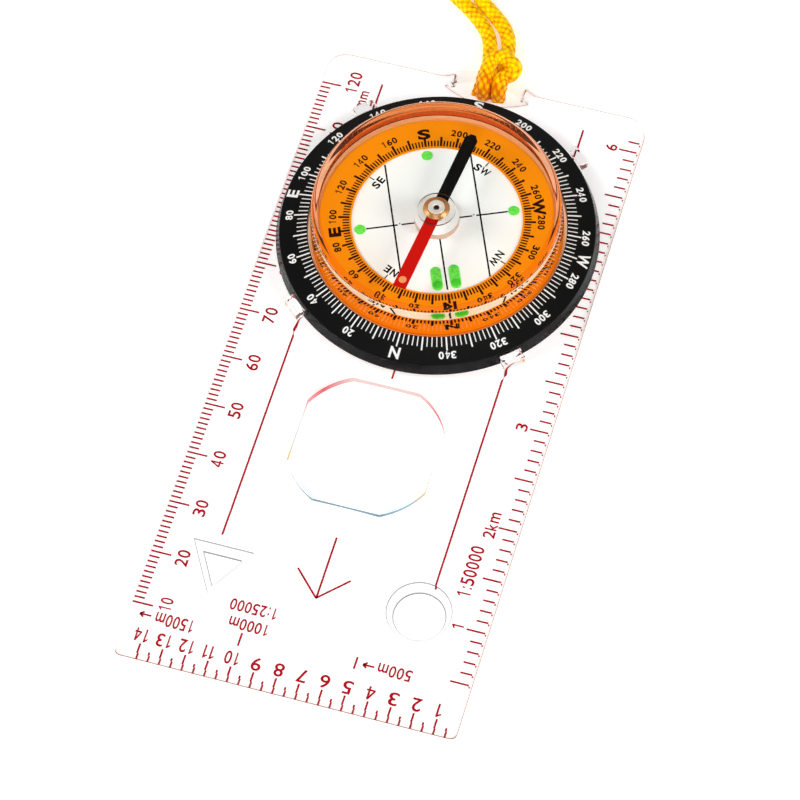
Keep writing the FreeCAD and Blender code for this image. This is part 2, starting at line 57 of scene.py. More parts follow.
# Compass axis and plate, read from the frame
RING_LOW, RING_HIGH = box("bezel_ring")
AXIS = Vector((0, (RING_LOW.y + RING_HIGH.y) / 2, 0))
PLATE_LOW, _ = box("baseplate")
COVER_LOW, COVER_HIGH = box("capsule_cover")
BASE_LOW, BASE_HIGH = box("capsule_base")
DIAL_LOW, DIAL_HIGH = box("dial_ring")
BLADE_LOW, BLADE_HIGH = box("needle_blade")
HUB_LOW, HUB_HIGH = box("needle_hub")
JEWEL_LOW, _ = box("jewel_cup")
PLATE_THICK = 2.0

# Where the printed scales start: the left ruler's edge and the plate's pointer edge
RULER_X = -29.7
PLATE_END = PLATE_LOW.y

# How far the dial is turned to the left and the needle to the right, in degrees
DIAL_TURN = 23.5
NEEDLE_TURN = 6.4


# ---- camera
def aim_camera():
    """A long lens looking down on the plate from its pointer end."""
    azimuth = math.radians(19.526)
    elevation = math.radians(60.177)
    roll = math.radians(-3.576)
    distance = 680.77
    target = Vector((2.86, -5.0, 0.77))
    focal_pixels = 3914.6
    frame_pixels = 800
    right = Vector((math.cos(azimuth), math.sin(azimuth), 0))
    back = Vector((
        math.sin(azimuth) * math.cos(elevation),
        -math.cos(azimuth) * math.cos(elevation),
        math.sin(elevation),
    ))
    up = back.cross(right)
    rolled_right = right * math.cos(roll) + up * math.sin(roll)
    rolled_up = up * math.cos(roll) - right * math.sin(roll)
    data = bpy.data.cameras.new("camera")
    data.sensor_width = 36
    data.lens = focal_pixels / frame_pixels * data.sensor_width
    data.clip_end = 10
    camera = bpy.data.objects.new("camera", data)
    turn = Matrix((rolled_right, rolled_up, back)).transposed()
    camera.matrix_world = Matrix.Translation((target + back * distance) * MM) @ turn.to_4x4()
    bpy.context.scene.collection.objects.link(camera)
    bpy.context.scene.camera = camera


aim_camera()


# ---- mesh helpers
def add_piece(name, mesh, body, material, replaced=()):
    """A visible piece on a body, in place of the named CAD nodes."""
    piece = bpy.data.objects.new(name, mesh)
    bpy.context.scene.collection.objects.link(piece)
    materials = material if isinstance(material, (list, tuple)) else [material]
    for each in materials:
        mesh.materials.append(each)
    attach(piece, body)
    if replaced:
        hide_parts(*replaced)
    return piece


def even_shading(piece):
    """Keep flat faces flat next to narrow rounded edges."""
    weighted = piece.modifiers.new("even shading", "WEIGHTED_NORMAL")
    weighted.keep_sharp = True


def finish_mesh(builder, name, sharp_angle=32):
    """The built mesh in metres, smooth apart from edges sharper than the angle."""
    bmesh.ops.recalc_face_normals(builder, faces=builder.faces)
    mesh = bpy.data.meshes.new(name)
    builder.to_mesh(mesh)
    builder.free()
    mesh.transform(Matrix.Scale(MM, 4))
    mesh.polygons.foreach_set("use_smooth", [True] * len(mesh.polygons))
    mesh.set_sharp_from_angle(angle=math.radians(sharp_angle))
    return mesh


def mesh_from(curve):
    """The mesh that a curve or a text gives; the curve itself is used up."""
    holder = bpy.data.objects.new(curve.name, curve)
    bpy.context.scene.collection.objects.link(holder)
    bpy.context.view_layer.update()
    evaluated = holder.evaluated_get(bpy.context.evaluated_depsgraph_get())
    mesh = bpy.data.meshes.new_from_object(evaluated)
    bpy.data.objects.remove(holder)
    bpy.data.curves.remove(curve)
    return mesh


def rounded(profile, radius, steps=4, closed=True):
    """The profile with each corner replaced by a small arc."""
    longest_share = 0.45
    points = [Vector(point) for point in profile]
    count = len(points)
    result = []
    for index, corner in enumerate(points):
        if not closed and index in (0, count - 1):
            result.append(corner)
            continue
        before = points[index - 1] - corner
        after = points[(index + 1) % count] - corner
        size = min(radius, before.length * longest_share, after.length * longest_share)
        start = corner + before.normalized() * size
        end = corner + after.normalized() * size
        for step in range(steps + 1):
            t = step / steps
            result.append(start * (1 - t) ** 2 + corner * 2 * t * (1 - t) + end * t**2)
    return result


def lathe(name, profile, segments=192, closed=True, centre=AXIS, face_slot=None):
    """Turn a radius-and-height profile round an axis; face_slot gives the material of each band."""
    on_axis = 1e-6
    builder = bmesh.new()
    rings = []
    for radius, height in profile:
        if radius < on_axis:
            rings.append([builder.verts.new((centre.x, centre.y, height))])
            continue
        ring = []
        for index in range(segments):
            angle = 2 * math.pi * index / segments
            x = centre.x + radius * math.cos(angle)
            y = centre.y + radius * math.sin(angle)
            ring.append(builder.verts.new((x, y, height)))
        rings.append(ring)
    pairs = list(zip(rings, rings[1:]))
    if closed:
        pairs.append((rings[-1], rings[0]))
    for number, (one, two) in enumerate(pairs):
        if len(one) == 1 and len(two) == 1:
            continue
        for index in range(segments):
            following = (index + 1) % segments
            if len(one) == 1:
                corners = (one[0], two[index], two[following])
            elif len(two) == 1:
                corners = (one[index], two[0], one[following])
            else:
                corners = (one[index], two[index], two[following], one[following])
            face = builder.faces.new(corners)
            if face_slot:
                face.material_index = face_slot(number)
    return finish_mesh(builder, name)


# ---- printing
# Stroke growth of the lettering, as a share of the font size
PLAIN = 0.013
BOLD = 0.03
HEAVY = 0.045
# Two figure ones side by side stand closer together
DOUBLE_ONE_PULL = 0.26

# Advance, width and height of each character as shares of the capital height
DIGIT_SHAPE = (0.80, 0.68, 1.0)
SHAPES = {
    ":": (0.42, 0.15, 0.74),
    "m": (1.20, 1.00, 0.76),
    "k": (0.72, 0.62, 1.0),
    "N": (1.0, 0.80, 1.0),
    "E": (0.90, 0.68, 1.0),
    "S": (0.92, 0.78, 1.0),
    "W": (1.26, 1.18, 1.0),
}
# Figures drawn here, for a capital height of 1: left end, right end, corners and outlines
DRAWN = {
    "1": (
        0.14, 0.50,
        [(0.36, 0), (0.36, 1), (0.27, 1), (0.0, 0.8), (0.0, 0.68), (0.22, 0.8), (0.22, 0)],
        [(0, 1, 2, 3, 4, 5, 6)],
    ),
    "4": (
        0.04, 0.66,
        [(0, 0.22), (0.36, 0.22), (0.36, 0.35), (0.15, 0.35), (0.36, 0.72), (0.36, 1), (0, 0.34),
         (0.36, 0), (0.50, 0), (0.50, 1), (0.50, 0.22), (0.62, 0.22), (0.62, 0.35), (0.50, 0.35)],
        [(0, 1, 2, 3, 4, 5, 6), (7, 8, 9, 5), (10, 11, 12, 13)],
    ),
}
# Points of printing closer than this, in millimetres, become one
WELD = 1e-5
# Printing floats this far above its surface
PRINT_GAP = 0.004


class Print:
    """Flat printing gathered into one thin mesh; lift gives the surface height at a point."""

    glyphs = {}

    def __init__(self, lift, thickness=0.012):
        self.builder = bmesh.new()
        self.lift = lift
        self.thickness = thickness

    def line(self, x0, y0, x1, y1, width):
        along = Vector((x1 - x0, y1 - y0)).normalized() * (width / 2)
        side = Vector((-along.y, along.x))
        one = Vector((x0, y0))
        two = Vector((x1, y1))
        corners = (one + side, one - side, two - side, two + side)
        self.builder.faces.new([self.builder.verts.new((x, y, 0)) for x, y in corners])

    def glyph(self, letter, weight):
        """Points and triangles of a character, from 0 to 1 in both directions."""
        if (letter, weight) not in Print.glyphs:
            curve = bpy.data.curves.new("text", "FONT")
            curve.body = letter
            curve.resolution_u = 5
            curve.offset = weight
            mesh = mesh_from(curve)
            verts = [vertex.co.xy.copy() for vertex in mesh.vertices]
            faces = [tuple(polygon.vertices) for polygon in mesh.polygons]
            bpy.data.meshes.remove(mesh)
            low = Vector((min(v.x for v in verts), min(v.y for v in verts)))
            high = Vector((max(v.x for v in verts), max(v.y for v in verts)))
            size = high - low
            unit = [Vector(((v.x - low.x) / size.x, (v.y - low.y) / size.y)) for v in verts]
            Print.glyphs[letter, weight] = (unit, faces)
        return Print.glyphs[letter, weight]

    def text(self, text, x, y, height, turn=0, width=None, weight=PLAIN):
        """A text centred on a point, its top turned from +Y by the given degrees."""
        placed = []
        along = 0.0
        previous = ""
        for letter in text:
            advance, wide, tall = SHAPES.get(letter, DIGIT_SHAPE)
            if previous + letter == "11":
                along -= DOUBLE_ONE_PULL
            if letter in DRAWN:
                left, right, corners, faces = DRAWN[letter]
                corners = [Vector(corner) for corner in corners]
                placed.append((along + left, along + right, corners, faces))
            else:
                unit, faces = self.glyph(letter, weight)
                left = along + (advance - wide) / 2
                corners = [Vector((v.x * wide, v.y * tall)) for v in unit]
                placed.append((left, left + wide, corners, faces))
            along += advance
            previous = letter
        start = placed[0][0]
        end = placed[-1][1]
        stretch = width / (end - start) if width else height
        turned = Matrix.Rotation(math.radians(turn), 2)
        for left, _, corners, faces in placed:
            made = []
            for corner in corners:
                across = (left + corner.x - (start + end) / 2) * stretch
                spot = turned @ Vector((across, (corner.y - 0.5) * height))
                made.append(self.builder.verts.new((x + spot.x, y + spot.y, 0)))
            for face in faces:
                self.builder.faces.new([made[index] for index in face])

    def mesh(self, name):
        """The gathered printing as one mesh in metres, laid on the surface."""
        bmesh.ops.remove_doubles(self.builder, verts=self.builder.verts, dist=WELD)
        for face in self.builder.faces:
            face.normal_update()
            if face.normal.z < 0:
                face.normal_flip()
        grown = bmesh.ops.extrude_face_region(self.builder, geom=self.builder.faces[:])
        raised = {item for item in grown["geom"] if isinstance(item, bmesh.types.BMVert)}
        for vertex in self.builder.verts:
            height = self.lift(vertex.co.x, vertex.co.y)
            vertex.co.z = height + (self.thickness if vertex in raised else 0)
        bmesh.ops.recalc_face_normals(self.builder, faces=self.builder.faces)
        mesh = bpy.data.meshes.new(name)
        self.builder.to_mesh(mesh)
        self.builder.free()
        mesh.transform(Matrix.Scale(MM, 4))
        return mesh


# ---- material helpers
# Slow drift of a surface's colour: cycles per millimetre, and the noise it starts and ends at
DRIFT_SCALE = 0.06
DRIFT_RANGE = (0.3, 0.7)


class Nodes:
    """A new material and short names for making and joining its nodes."""

    def __init__(self, name):
        self.material = bpy.data.materials.new(name)
        self.material.use_nodes = True
        self.tree = self.material.node_tree
        self.tree.nodes.clear()
        self.output = self.add("OutputMaterial")

    def add(self, kind, **inputs):
        node = self.tree.nodes.new(f"ShaderNode{kind}")
        for name, value in inputs.items():
            node.inputs[name.replace("_", " ")].default_value = value
        return node

    def join(self, source, target, output=0, socket=0):
        self.tree.links.new(source.outputs[output], target.inputs[socket])

    def surface(self, shader):
        self.join(shader, self.output, socket="Surface")
        return self.material

    def bump(self, height_node, target, strength, distance):
        bump = self.add("Bump", Strength=strength, Distance=distance * MM)
        self.join(height_node, bump, 0, "Height")
        self.join(bump, target, 0, "Normal")

    def noise(self, place, scale, detail):
        """Noise on the piece's own coordinates, in cycles per millimetre."""
        noise = self.add("TexNoise", Scale=scale / MM, Detail=detail)
        self.join(place, noise, "Object", "Vector")
        return noise

    def ramp(self, tints, blend="LINEAR"):
        """Colours at their positions, from the lowest to the highest."""
        ramp = self.add("ValToRGB")
        ramp.color_ramp.interpolation = blend
        stops = ramp.color_ramp.elements
        for stop, (position, tint) in ((stops[0], tints[0]), (stops[1], tints[-1])):
            stop.position = position
            stop.color = tint
        for position, tint in tints[1:-1]:
            stops.new(position).color = tint
        return ramp


def colour(red, green, blue):
    """Display colour, 0 to 255, as the linear colour that shaders use."""
    knee = 0.04045
    linear = []
    for part in (red, green, blue):
        share = part / 255
        linear.append(share / 12.92 if share <= knee else ((share + 0.055) / 1.055) ** 2.4)
    return (*linear, 1.0)


def clear_plastic(name, ior, tint=(1, 1, 1, 1), roughness=0.0):
    """Clear plastic or liquid that lets lamps through, so that it casts no hard shade."""
    nodes = Nodes(name)
    glass = nodes.add("BsdfGlass", Color=tint, Roughness=roughness, IOR=ior)
    through = nodes.add("BsdfTransparent", Color=tint)
    path = nodes.add("LightPath")
    either = nodes.add("Math")
    either.operation = "MAXIMUM"
    nodes.join(path, either, "Is Shadow Ray", 0)
    nodes.join(path, either, "Is Diffuse Ray", 1)
    mix = nodes.add("MixShader")
    nodes.join(either, mix)
    nodes.join(glass, mix, 0, 1)
    nodes.join(through, mix, 0, 2)
    return nodes.surface(mix)


def grained(name, base, roughness, grain, depth, shift=0.08, specular=0.5, metallic=0.0):
    """Moulded or painted surface: fine grain in its bump and a little drift in its colour."""
    nodes = Nodes(name)
    shader = nodes.add("BsdfPrincipled", Roughness=roughness, Metallic=metallic,
                       Specular_IOR_Level=specular)
    place = nodes.add("TexCoord")
    noise = nodes.noise(place, grain, 3.0)
    drift = nodes.noise(place, DRIFT_SCALE, 2.0)
    darker = (*[part * (1 - shift) for part in base[:3]], 1)
    ramp = nodes.ramp(list(zip(DRIFT_RANGE, (darker, base))))
    nodes.join(drift, ramp, 0, "Fac")
    nodes.join(ramp, shader, 0, "Base Color")
    nodes.bump(noise, shader, 1.0, depth)
    return nodes.surface(shader)


def glow(material, tone, strength):
    """A little light of its own, for the light that clear walls would bring to a hidden face."""
    shader = material.node_tree.nodes["Principled BSDF"]
    shader.inputs["Emission Color"].default_value = tone
    shader.inputs["Emission Strength"].default_value = strength


# ---- lanyard
CORD = 2.8
LIE = CORD / 2
# Plan of the two strands from the hitch, lying on the table, as in part.py
RIGHT_ROUTE = [(x, y, LIE) for x, y in (
    (1.55, 66.9), (1.45, 71.0), (-0.25, 74.8), (-3.55, 77.7), (-7.0, 80.3),
    (-9.4, 84.6), (-10.1, 90.2), (-9.9, 96.6), (-9.3, 102.8),
)]
LEFT_ROUTE = [(x, y, LIE) for x, y in (
    (-1.3, 66.9), (-2.0, 70.3), (-3.4, 73.4), (-6.4, 76.3),
    (-10.2, 79.1), (-15.2, 82.1), (-21.8, 85.2), (-29.4, 88.2),
)]
COIL_LOW, COIL_HIGH = box("lanyard_coil")
COIL_CENTRE = (COIL_LOW + COIL_HIGH) / 2


def ease(share):
    """A share from 0 to 1 with a soft start and end."""
    return 3 * share**2 - 2 * share**3


def coil_route():
    """Turns that wind inwards on the table, climb, and wind outwards on top of the first."""
    turns = 6.686
    per_turn = 24
    start_angle = math.radians(1.5)
    outer = 21.0
    pitch = 2.9
    climb_start = 3.2
    climb_end = 3.45
    drop_start = 6.3
    upper = LIE + 2.65
    climb_outwards = 0.5
    count = round(turns * per_turn)
    points = []
    for index in range(count + 1):
        turn = turns * index / count
        if turn < climb_start:
            radius = outer - pitch * turn
            height = LIE
        elif turn < climb_end:
            share = (turn - climb_start) / (climb_end - climb_start)
            radius = outer - pitch * climb_start + climb_outwards * share
            height = LIE + (upper - LIE) * ease(share)
        else:
            radius = outer - pitch * climb_start + climb_outwards + pitch * (turn - climb_end)
            share = max(0, turn - drop_start) / (turns - drop_start)
            height = upper + (LIE - upper) * ease(share)
        angle = start_angle + 2 * math.pi * turn
        x = COIL_CENTRE.x + radius * math.cos(angle)
        y = COIL_CENTRE.y + radius * math.sin(angle)
        points.append((x, y, height))
    return points


def spline_points(route):
    """Points along the smooth line whose control points are the route."""
    data = bpy.data.curves.new("route", "CURVE")
    data.dimensions = "3D"
    data.resolution_u = 8
    spline = data.splines.new("NURBS")
    spline.points.add(len(route) - 1)
    for point, spot in zip(spline.points, route):
        point.co = (*spot, 1)
    spline.order_u = 3
    spline.use_endpoint_u = True
    mesh = mesh_from(data)
    points = [vertex.co.copy() for vertex in mesh.vertices]
    bpy.data.meshes.remove(mesh)
    return points


def evenly(points, step):
    """The same line with points a fixed step apart."""
    shortest_end = 0.3
    result = [points[0]]
    left = step
    for one, two in zip(points, points[1:]):
        run = two - one
        length = run.length
        done = 0.0
        while length - done >= left:
            done += left
            result.append(one + run * (done / length))
            left = step
        left -= length - done
    if (result[-1] - points[-1]).length > step * shortest_end:
        result.append(points[-1])
    return result


def braided_tube(name, points, flat=None, step=0.2, around=32):
    """A tubular braid: carriers wind both ways and pass over and under each other.

    flat gives the half width and half height where the braid is pressed flat.
    """
    carriers = 6
    lay = 8.4
    relief = 0.13
    crown_sharpness = 0.6
    even_part, waved_part = 0.55, 0.45
    steep = 0.9
    line = evenly(points, step)
    count = len(line)
    tangents = []
    for index in range(count):
        tangents.append((line[min(index + 1, count - 1)] - line[max(index - 1, 0)]).normalized())
    side = tangents[0].orthogonal().normalized()
    if abs(tangents[0].z) < steep:
        side = tangents[0].cross(Vector((0, 0, 1))).normalized()
    verts = []
    heights = []
    for index, (spot, tangent) in enumerate(zip(line, tangents)):
        side = (side - tangent * side.dot(tangent)).normalized()
        up = side.cross(tangent)
        half_wide = half_tall = CORD / 2 - relief
        if flat:
            half_wide, half_tall = flat(spot, half_wide)
        for step_round in range(around):
            angle = 2 * math.pi * step_round / around
            turned = carriers * angle / (2 * math.pi)
            advanced = index * step * carriers / lay
            first = turned + advanced
            second = turned - advanced
            over = (math.floor(first) + math.floor(second)) % 2 == 0
            share = first % 1 if over else second % 1
            other = second % 1 if over else first % 1
            wave = even_part + waved_part * math.sin(math.pi * other)
            crown = math.sin(math.pi * share) ** crown_sharpness * wave
            heights.append(crown)
            lift = relief * crown
            across = side * math.cos(angle) * (half_wide + lift)
            verts.append(spot + across + up * math.sin(angle) * (half_tall + lift))
    faces = []
    for index in range(count - 1):
        for step_round in range(around):
            following = (step_round + 1) % around
            row = index * around
            next_row = row + around
            faces.append((row + step_round, row + following, next_row + following, next_row + step_round))
    faces.append(tuple(range(around - 1, -1, -1)))
    faces.append(tuple((count - 1) * around + index for index in range(around)))
    mesh = bpy.data.meshes.new(name)
    mesh.from_pydata([vertex * MM for vertex in verts], [], faces)
    mesh.validate()
    mesh.polygons.foreach_set("use_smooth", [True] * len(mesh.polygons))
    attribute = mesh.attributes.new("crown", "FLOAT", "POINT")
    attribute.data.foreach_set("value", heights)
    builder = bmesh.new()
    builder.from_mesh(mesh)
    bmesh.ops.recalc_face_normals(builder, faces=builder.faces)
    builder.to_mesh(mesh)
    builder.free()
    return mesh, line


def cord_material():
    """Glossy yellow polyester with fine filaments; painted shade makes the grooves a deeper orange and
    painted highlight makes the yarn crowns a brighter yellow.
    """
    nodes = Nodes("yellow_cord")
    shader = nodes.add("BsdfPrincipled", Roughness=0.6, Specular_IOR_Level=0.2)
    crown = nodes.add("Attribute")
    crown.attribute_name = "crown"
    # Painted shade in the grooves and painted highlight on the crowns, set by the braid's crown height
    groove_shade, middle, crown_highlight = colour(226, 112, 0), colour(255, 190, 0), colour(255, 236, 0)
    ramp = nodes.ramp([(0.1, groove_shade), (0.5, middle), (0.95, crown_highlight)])
    place = nodes.add("TexCoord")
    filament = nodes.noise(place, 3.2, 2.0)
    patch = nodes.noise(place, 0.55, 3.0)
    tone = nodes.add("MapRange", From_Min=0.3, From_Max=0.7, To_Min=-0.25, To_Max=0.25)
    nodes.join(patch, tone)
    split = nodes.add("SeparateXYZ")
    nodes.join(place, split, "Object", 0)
    # Painted shade: the braid darkens towards the tab's bar, along Y
    shade_near_bar = nodes.add("MapRange", From_Min=60 * MM, From_Max=66 * MM, To_Min=-0.38, To_Max=0.0)
    nodes.join(split, shade_near_bar, "Y", 0)
    both = nodes.add("Math")
    nodes.join(tone, both, 0, 0)
    nodes.join(shade_near_bar, both, 0, 1)
    total = nodes.add("Math")
    nodes.join(crown, total, "Fac", 0)
    nodes.join(both, total, 0, 1)
    nodes.join(total, ramp, 0, "Fac")
    nodes.join(ramp, shader, 0, "Base Color")
    nodes.bump(filament, shader, 0.8, 0.05)
    return nodes.surface(shader)


def pressed_flat(spot, half):
    """Half width and half height of a tail: flat under the tab's bar, round where it leaves."""
    flat_until = 64.6
    taper = 2.0
    half_wide, half_tall = 1.45, 0.42
    share = min(1, max(0, (spot.y - flat_until) / taper))
    return half_wide + (half - half_wide) * share, half_tall + (half - half_tall) * share


def build_lanyard():
    """The hitch on the tab's bar, and the cord from its left side round to its right."""
    material = cord_material()
    bight_route = [
        (-0.6, 60.35, 0.5), (-0.6, 60.35, 2.9), (-0.65, 61.8, 3.7), (-0.7, 63.6, 4.1),
        (-0.75, 65.4, 4.3), (0.0, 66.6, 4.5), (1.6, 66.8, 4.6), (3.2, 66.1, 4.6),
        (4.3, 65.0, 4.4), (3.9, 63.8, 4.1), (2.5, 63.0, 3.9), (2.2, 61.8, 3.7),
        (2.2, 60.35, 2.9), (2.2, 60.35, 0.5),
    ]
    tail_profile = [(60.0, 0.62), (62.0, 0.6), (64.4, 0.6), (65.6, 1.2), (66.9, LIE)]
    meshes = [braided_tube("bight", spline_points(bight_route))[0]]
    for across in (LEFT_ROUTE[0][0], RIGHT_ROUTE[0][0]):
        tail_route = [(across, y, height) for y, height in tail_profile]
        meshes.append(braided_tube("tail", spline_points(tail_route), flat=pressed_flat)[0])
    builder = bmesh.new()
    for mesh in meshes:
        builder.from_mesh(mesh)
        bpy.data.meshes.remove(mesh)
    joined = bpy.data.meshes.new("lanyard_hitch_braid")
    builder.to_mesh(joined)
    builder.free()
    hitch = add_piece("lanyard_hitch_braid", joined, "baseplate", material,
                      ["lanyard_hitch"])
    route = RIGHT_ROUTE + coil_route() + LEFT_ROUTE[::-1]
    mesh, line = braided_tube("lanyard_cord", spline_points(route), around=30, step=0.26)
    cord = add_piece("lanyard_cord", mesh, "baseplate", material,
                     ["lanyard_strand_left", "lanyard_strand_right", "lanyard_coil"])
    length = sum((two - one).length for one, two in zip(line, line[1:]))
    print("lanyard length, mm:", round(length, 1))


build_lanyard()


# ---- baseplate
RED_INK = grained("red_ink", colour(178, 14, 30), 0.7, 6.0, 0.002, specular=0.0)


def edge_wall(name, axis, low, high, tints, blend="CONSTANT"):
    """Upright wall of the plate: clear, with bands of painted shade and painted reflection that follow its
    height or its place.
    """
    nodes = Nodes(name)
    place = nodes.add("TexCoord")
    split = nodes.add("SeparateXYZ")
    nodes.join(place, split, "Object", 0)
    span = nodes.add("MapRange", From_Min=low * MM, From_Max=high * MM)
    nodes.join(split, span, axis, 0)
    ramp = nodes.ramp(tints, blend)
    nodes.join(span, ramp, 0, "Fac")
    through = nodes.add("BsdfTransparent")
    nodes.join(ramp, through, 0, "Color")
    shine = nodes.add("BsdfGlossy", Roughness=0.15)
    mix = nodes.add("MixShader", Fac=0.03)
    nodes.join(through, mix, 0, 1)
    nodes.join(shine, mix, 0, 2)
    return nodes.surface(mix)


def build_plate():
    """The moulded plate: polished faces, and clear walls with edge lines of painted shade and painted
    reflection.
    """
    acrylic = clear_plastic("clear_acrylic", 1.49)
    clear = colour(249, 248, 247)
    brown = colour(190, 140, 122)
    grey = colour(160, 158, 160)
    # Painted shade: a brown band at the foot of the plate's rim, and grey bands at the top and foot of the
    # openings' walls
    rim_shade_tints = [(0.0, brown), (0.15, clear), (1.0, clear)]
    opening_shade_tints = [(0.0, grey), (0.11, clear), (0.89, grey)]
    # Painted reflection: coloured glints of the red print and the room along the lens recess's wall,
    # changing along Y
    lens_reflection_tints = [
        (0.0, colour(112, 142, 160)),
        (0.16, colour(150, 186, 202)),
        (0.3, colour(226, 186, 96)),
        (0.42, colour(206, 202, 200)),
        (0.6, colour(236, 216, 218)),
        (0.84, colour(224, 112, 118)),
        (1.0, colour(226, 214, 210)),
    ]
    rim = edge_wall("plate_rim_shade", "Z", 0, PLATE_THICK, rim_shade_tints)
    wall = edge_wall("opening_wall_shade", "Z", 0, PLATE_THICK, opening_shade_tints)
    lens_wall_reflection = edge_wall("lens_wall_reflection", "Y", -29.5, -2.5, lens_reflection_tints, "LINEAR")
    builder = bmesh.new()
    builder.from_mesh(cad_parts["baseplate"].data)
    bmesh.ops.remove_doubles(builder, verts=builder.verts, dist=1e-6)
    # Where the openings are, where the lens recess begins, and what is too high for the rim
    inner_half = 28.6 * MM
    inner_low = (PLATE_LOW.y + 1.4) * MM
    inner_high = 0.0
    lens_low = -31.0 * MM
    lug_low = 2.2 * MM
    level = 0.9
    for face in builder.faces:
        if abs(face.normal.z) > level:
            continue
        centre = face.calc_center_median()
        inside = abs(centre.x) < inner_half and inner_low < centre.y < inner_high
        if inside:
            face.material_index = 3 if centre.y > lens_low else 2
        elif max(corner.co.z for corner in face.verts) < lug_low:
            face.material_index = 1
    mesh = bpy.data.meshes.new("plate")
    builder.to_mesh(mesh)
    builder.free()
    mesh.polygons.foreach_set("use_smooth", [True] * len(mesh.polygons))
    mesh.set_sharp_from_angle(angle=math.radians(24))
    materials = [acrylic, rim, wall, lens_wall_reflection]
    even_shading(add_piece("plate", mesh, "baseplate", materials, ["baseplate"]))


def ruler(x, y):
    """A point of the printed scales: x from the left ruler's edge, y from the pointer edge."""
    return RULER_X + x, PLATE_END + y


def build_scale_print():
    """The rulers, map scales, guide lines and direction arrow under the plate."""
    above_table = 0.03
    ink = Print(lambda x, y: above_table)
    width = 0.34

    def stroke(x0, y0, x1, y1, wide=width):
        ink.line(*ruler(x0, y0), *ruler(x1, y1), wide)

    def label(text, x0, y0, x1, y1, turn):
        x, y = ruler((x0 + x1) / 2, (y0 + y1) / 2)
        upright = turn in (90, -90)
        tall = x1 - x0 if upright else y1 - y0
        span = y1 - y0 if upright else x1 - x0
        ink.text(text, x, y, tall, turn, span if len(text) > 1 else None)

    for y in range(10, 121):
        stroke(0, y, 3.6 if y % 10 == 0 else 1.8, y)
    for y in range(10, 123, 2):
        stroke(59.3, y, 55.9 if y % 10 == 0 else 57.1, y)
    for value in range(10, 121, 10):
        centre = {10: 10.9, 120: 121.3}.get(value, value)
        span = {10: 2.4, 110: 4.5, 120: 4.5}.get(value, 3.1)
        label(str(value), 4.5, centre - span / 2, 6.75, centre + span / 2, 90)
    for text, *area in (
        ("mm", 7.2, 116.2, 9.0, 120),
        ("1", 53.3, 19.45, 55.4, 20.55),
        ("1:50000", 52.4, 25.8, 54.8, 35.6),
        ("2km", 53.6, 37.6, 55.7, 42.7),
        ("3", 53.4, 59.2, 55.5, 60.8),
        ("6", 53.4, 119.2, 55.5, 120.8),
    ):
        label(text, *area, 90)
    first = 3.75
    pitch = 4.0
    for value in range(14, 0, -1):
        x = first + pitch * (14 - value)
        stroke(x, 0.05, x, 2.7)
        stroke(x + pitch / 2, 0.05, x + pitch / 2, 1.5)
        two_figures = value > 9
        half = {11: 0.95, 10: 1.25, 14: 1.25}.get(value, 1.3) if two_figures else 0.67
        middle = x - 0.3 if two_figures else x
        label(str(value), middle - half, 3.0, middle + half, 5.5, 180)
    for text, *area in (
        ("1500m", 4.7, 6.8, 11.4, 9.2),
        ("1000m", 16.9, 9.6, 23.8, 11.8),
        ("1:25000", 16.1, 12.9, 24.3, 15.1),
        ("500m", 43.6, 7.9, 49.5, 10.1),
    ):
        label(text, *area, 180)
    stroke(19.7, 6.7, 19.7, 9.2)
    stroke(39.75, 7.8, 39.75, 10.1)
    for tail, tip, y in ((3.9, 1.9, 8.1), (43.0, 41.0, 9.0)):
        stroke(tail, y, tip, y)
        stroke(tip, y, tip + 0.7, y + 0.5)
        stroke(tip, y, tip + 0.7, y - 0.5)
    for x in (10.75, 48.65):
        stroke(x, 26.1, x, 80.3)
        stroke(x, 106.0, x, 122.3)
    stroke(30.0, 63.3, 30.0, 69.9)
    stroke(29.8, 30.8, 29.8, 18.7)
    stroke(25.1, 23.5, 29.75, 18.8)
    stroke(34.5, 23.5, 29.75, 18.8)
    add_piece("scale_print", ink.mesh("scale_print"), "baseplate", RED_INK)


build_plate()
build_scale_print()


# ---- bezel ring
RING_FOOT_RADIUS = 28.85
RING_SHOULDER_RADIUS = 28.1
RING_SHOULDER = 4.4
RING_BORE = 23.0
RING_COUNTERBORE = 25.9
RING_LIP = 3.45


def ring_slope(radius):
    """Height of the ring's sloping top at a radius."""
    share = (RING_SHOULDER_RADIUS - radius) / (RING_SHOULDER_RADIUS - RING_BORE)
    return RING_SHOULDER + (RING_HIGH.z - RING_SHOULDER) * share


def heading_spot(radius, heading, north):
    """A point at a radius and a clockwise heading, and the turn that points a text's top outwards."""
    angle = north - heading
    radians = math.radians(angle)
    return AXIS.x + radius * math.cos(radians), AXIS.y + radius * math.sin(radians), angle - 90


def radial_tick(ink, inner, outer, heading, north, width):
    ends = [heading_spot(radius, heading, north)[:2] for radius in (inner, outer)]
    ink.line(*ends[0], *ends[1], width)


def degree_scale(ink, north, ticks, long_ticks, numerals, letters, width, spread, weight):
    """Ticks every 2 degrees, numerals every 20 and the four cardinal letters.

    Ticks, numerals and letters are given by their inner and outer radius.
    """
    for heading in range(0, 360, 2):
        is_long = heading % 10 == 0
        inner, outer = long_ticks if is_long else ticks
        radial_tick(ink, inner, outer, heading, north, width * (1.5 if is_long else 1))
    for heading in range(20, 360, 20):
        if heading != 180:
            low, high = numerals
            x, y, turn = heading_spot((low + high) / 2, heading, north)
            ink.text(str(heading), x, y, high - low, turn, weight=BOLD)
    for heading, letter in zip((0, 90, 180, 270), "NESW"):
        low, high = letters
        x, y, turn = heading_spot((low + high) / 2, heading, north)
        wide = SHAPES[letter][1] * (high - low) * spread
        ink.text(letter, x, y, high - low, turn, wide, weight)


